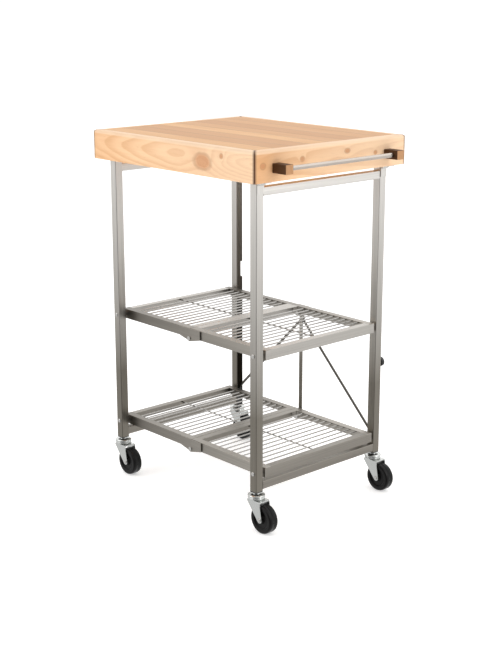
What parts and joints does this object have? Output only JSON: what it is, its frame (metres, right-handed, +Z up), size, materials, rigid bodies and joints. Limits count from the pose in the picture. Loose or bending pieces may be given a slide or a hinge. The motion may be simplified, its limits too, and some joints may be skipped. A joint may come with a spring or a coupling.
{
  "type": "folding kitchen island cart",
  "caption": "Rolling kitchen cart with a thick wooden top, towel rail and wire shelves that fold between two steel end frames.",
  "frame": {"origin": "centre of the bounding box on the floor, under the wheels", "axes": "+X towards the towel rail along the long side, -Y towards the front, +Z up"},
  "size_m": [0.633, 0.49, 0.9],
  "materials": {
    "wood_top": "oiled butcher block, satin",
    "wood_apron": "lighter sanded boards with knots, satin",
    "wood_post": "small oiled blocks",
    "steel": "warm grey brushed steel",
    "wire": "bright drawn wire",
    "rail": "polished tube",
    "zinc": "bright zinc plate",
    "rivet": "turned bright steel",
    "wheel": "black moulded wheel",
    "plastic": "black moulded plastic"
  },
  "bodies": {
    "right_frame": {"leg_right_front": "steel", "leg_right_rear": "steel", "top_rail_right": "steel", "bottom_rail_right": "steel", "leg_caps_right": "plastic", "stem_sockets_right": "plastic", "caster_stems_right": "zinc", "pivot_rivets_right": "rivet", "hinge_leg_leaves": "steel", "latch_bush": "steel"},
    "table_top": {"top_panel": "wood_top", "apron_front": "wood_apron", "apron_rear": "wood_apron", "apron_left": "wood_apron", "apron_right": "wood_apron", "rail_post_front": "wood_post", "rail_post_rear": "wood_post", "towel_rail": "rail", "rail_post_screws": "rivet", "hinge_top_leaves": "steel"},
    "left_frame": {"leg_left_front": "steel", "leg_left_rear": "steel", "top_rail_left": "steel", "bottom_rail_left": "steel", "leg_caps_left": "plastic", "stem_sockets_left": "plastic", "caster_stems_left": "zinc", "pivot_rivets_left": "rivet"},
    "lower_right_shelf": {"side_bars_lower_right": "steel", "cross_bars_lower_right": "steel", "grille_lower_right": "wire", "centre_pins_lower": "rivet"},
    "lower_left_shelf": {"side_bars_lower_left": "steel", "cross_bars_lower_left": "steel", "grille_lower_left": "wire"},
    "upper_right_shelf": {"side_bars_upper_right": "steel", "cross_bars_upper_right": "steel", "grille_upper_right": "wire", "centre_pins_upper": "rivet"},
    "upper_left_shelf": {"side_bars_upper_left": "steel", "cross_bars_upper_left": "steel", "grille_upper_left": "wire"},
    "tie": {"tie_link": "steel"},
    "right_diagonal": {"diagonal_right": "steel", "slide_roller_right": "plastic"},
    "left_diagonal": {"diagonal_left": "steel", "slide_roller_left": "plastic"},
    "latch": {"latch_knob": "plastic"},
    "fork_right_front": {"caster_fork_right_front": "zinc", "caster_axle_right_front": "zinc"},
    "wheel_right_front": {"caster_wheel_right_front": "wheel"},
    "fork_right_rear": {"caster_fork_right_rear": "zinc", "caster_axle_right_rear": "zinc"},
    "wheel_right_rear": {"caster_wheel_right_rear": "wheel"},
    "fork_left_front": {"caster_fork_left_front": "zinc", "caster_axle_left_front": "zinc"},
    "wheel_left_front": {"caster_wheel_left_front": "wheel"},
    "fork_left_rear": {"caster_fork_left_rear": "zinc", "caster_axle_left_rear": "zinc"},
    "wheel_left_rear": {"caster_wheel_left_rear": "wheel"}
  },
  "joints": [
    {"name": "fold", "type": "hinge", "parent": "right_frame", "child": "lower_right_shelf", "pos_m": [0.2335, 0, 0.141], "axis": [0, 1, 0], "range_deg": [0, 83.27]},
    {"name": "lower_seam", "type": "hinge", "parent": "lower_right_shelf", "child": "lower_left_shelf", "pos_m": [-0.0255, 0, 0.127], "axis": [0, 1, 0], "range_deg": [-166.54, 0]},
    {"name": "left_frame_pivot", "type": "hinge", "parent": "lower_left_shelf", "child": "left_frame", "pos_m": [-0.2845, 0, 0.141], "axis": [0, 1, 0], "range_deg": [0, 83.27]},
    {"name": "upper_right_pivot", "type": "hinge", "parent": "right_frame", "child": "upper_right_shelf", "pos_m": [0.2335, 0, 0.427], "axis": [0, 1, 0], "range_deg": [0, 83.27]},
    {"name": "upper_seam", "type": "hinge", "parent": "upper_right_shelf", "child": "upper_left_shelf", "pos_m": [-0.0255, 0, 0.413], "axis": [0, 1, 0], "range_deg": [-166.54, 0]},
    {"name": "tie_pivot", "type": "hinge", "parent": "lower_right_shelf", "child": "tie", "pos_m": [-0.0255, 0.201, 0.127], "axis": [0, 1, 0], "range_deg": [-83.27, 0]},
    {"name": "right_diagonal_pivot", "type": "hinge", "parent": "tie", "child": "right_diagonal", "pos_m": [-0.0255, 0.201, 0.397], "axis": [0, 1, 0], "range_deg": [0, 38.36]},
    {"name": "left_diagonal_pivot", "type": "hinge", "parent": "tie", "child": "left_diagonal", "pos_m": [-0.0255, 0.201, 0.397], "axis": [0, 1, 0], "range_deg": [-38.36, 0]},
    {"name": "top_lift", "type": "hinge", "parent": "right_frame", "child": "table_top", "pos_m": [0.2488, 0, 0.824], "axis": [0, 1, 0], "range_deg": [0, 90]},
    {"name": "latch_pull", "type": "slide", "parent": "right_frame", "child": "latch", "axis": [0, 1, 0], "range_m": [0, 0.006], "stiffness_N_per_m": 400},
    {"name": "swivel_right_front", "type": "hinge", "parent": "right_frame", "child": "fork_right_front", "pos_m": [0.2335, -0.201, 0.082], "axis": [0, 0, 1], "continuous": true},
    {"name": "roll_right_front", "type": "hinge", "parent": "fork_right_front", "child": "wheel_right_front", "pos_m": [0.261, -0.201, 0.035], "axis": [0, 1, 0], "continuous": true},
    {"name": "swivel_right_rear", "type": "hinge", "parent": "right_frame", "child": "fork_right_rear", "pos_m": [0.2335, 0.201, 0.082], "axis": [0, 0, 1], "continuous": true},
    {"name": "roll_right_rear", "type": "hinge", "parent": "fork_right_rear", "child": "wheel_right_rear", "pos_m": [0.261, 0.201, 0.035], "axis": [0, 1, 0], "continuous": true},
    {"name": "swivel_left_front", "type": "hinge", "parent": "left_frame", "child": "fork_left_front", "pos_m": [-0.2845, -0.201, 0.082], "axis": [0, 0, 1], "continuous": true},
    {"name": "roll_left_front", "type": "hinge", "parent": "fork_left_front", "child": "wheel_left_front", "pos_m": [-0.257, -0.201, 0.035], "axis": [0, 1, 0], "continuous": true},
    {"name": "swivel_left_rear", "type": "hinge", "parent": "left_frame", "child": "fork_left_rear", "pos_m": [-0.2845, 0.201, 0.082], "axis": [0, 0, 1], "continuous": true},
    {"name": "roll_left_rear", "type": "hinge", "parent": "fork_left_rear", "child": "wheel_left_rear", "pos_m": [-0.257, 0.201, 0.035], "axis": [0, 1, 0], "continuous": true}
  ],
  "couplings": [
    {"joint": "lower_seam", "follows": "fold", "ratio": -2},
    {"joint": "left_frame_pivot", "follows": "fold", "ratio": 1},
    {"joint": "upper_right_pivot", "follows": "fold", "ratio": 1},
    {"joint": "upper_seam", "follows": "fold", "ratio": -2},
    {"joint": "tie_pivot", "follows": "fold", "ratio": -1},
    {"joint": "right_diagonal_pivot", "follows": "fold", "ratio": 0.4606},
    {"joint": "left_diagonal_pivot", "follows": "fold", "ratio": -0.4606}
  ]
}
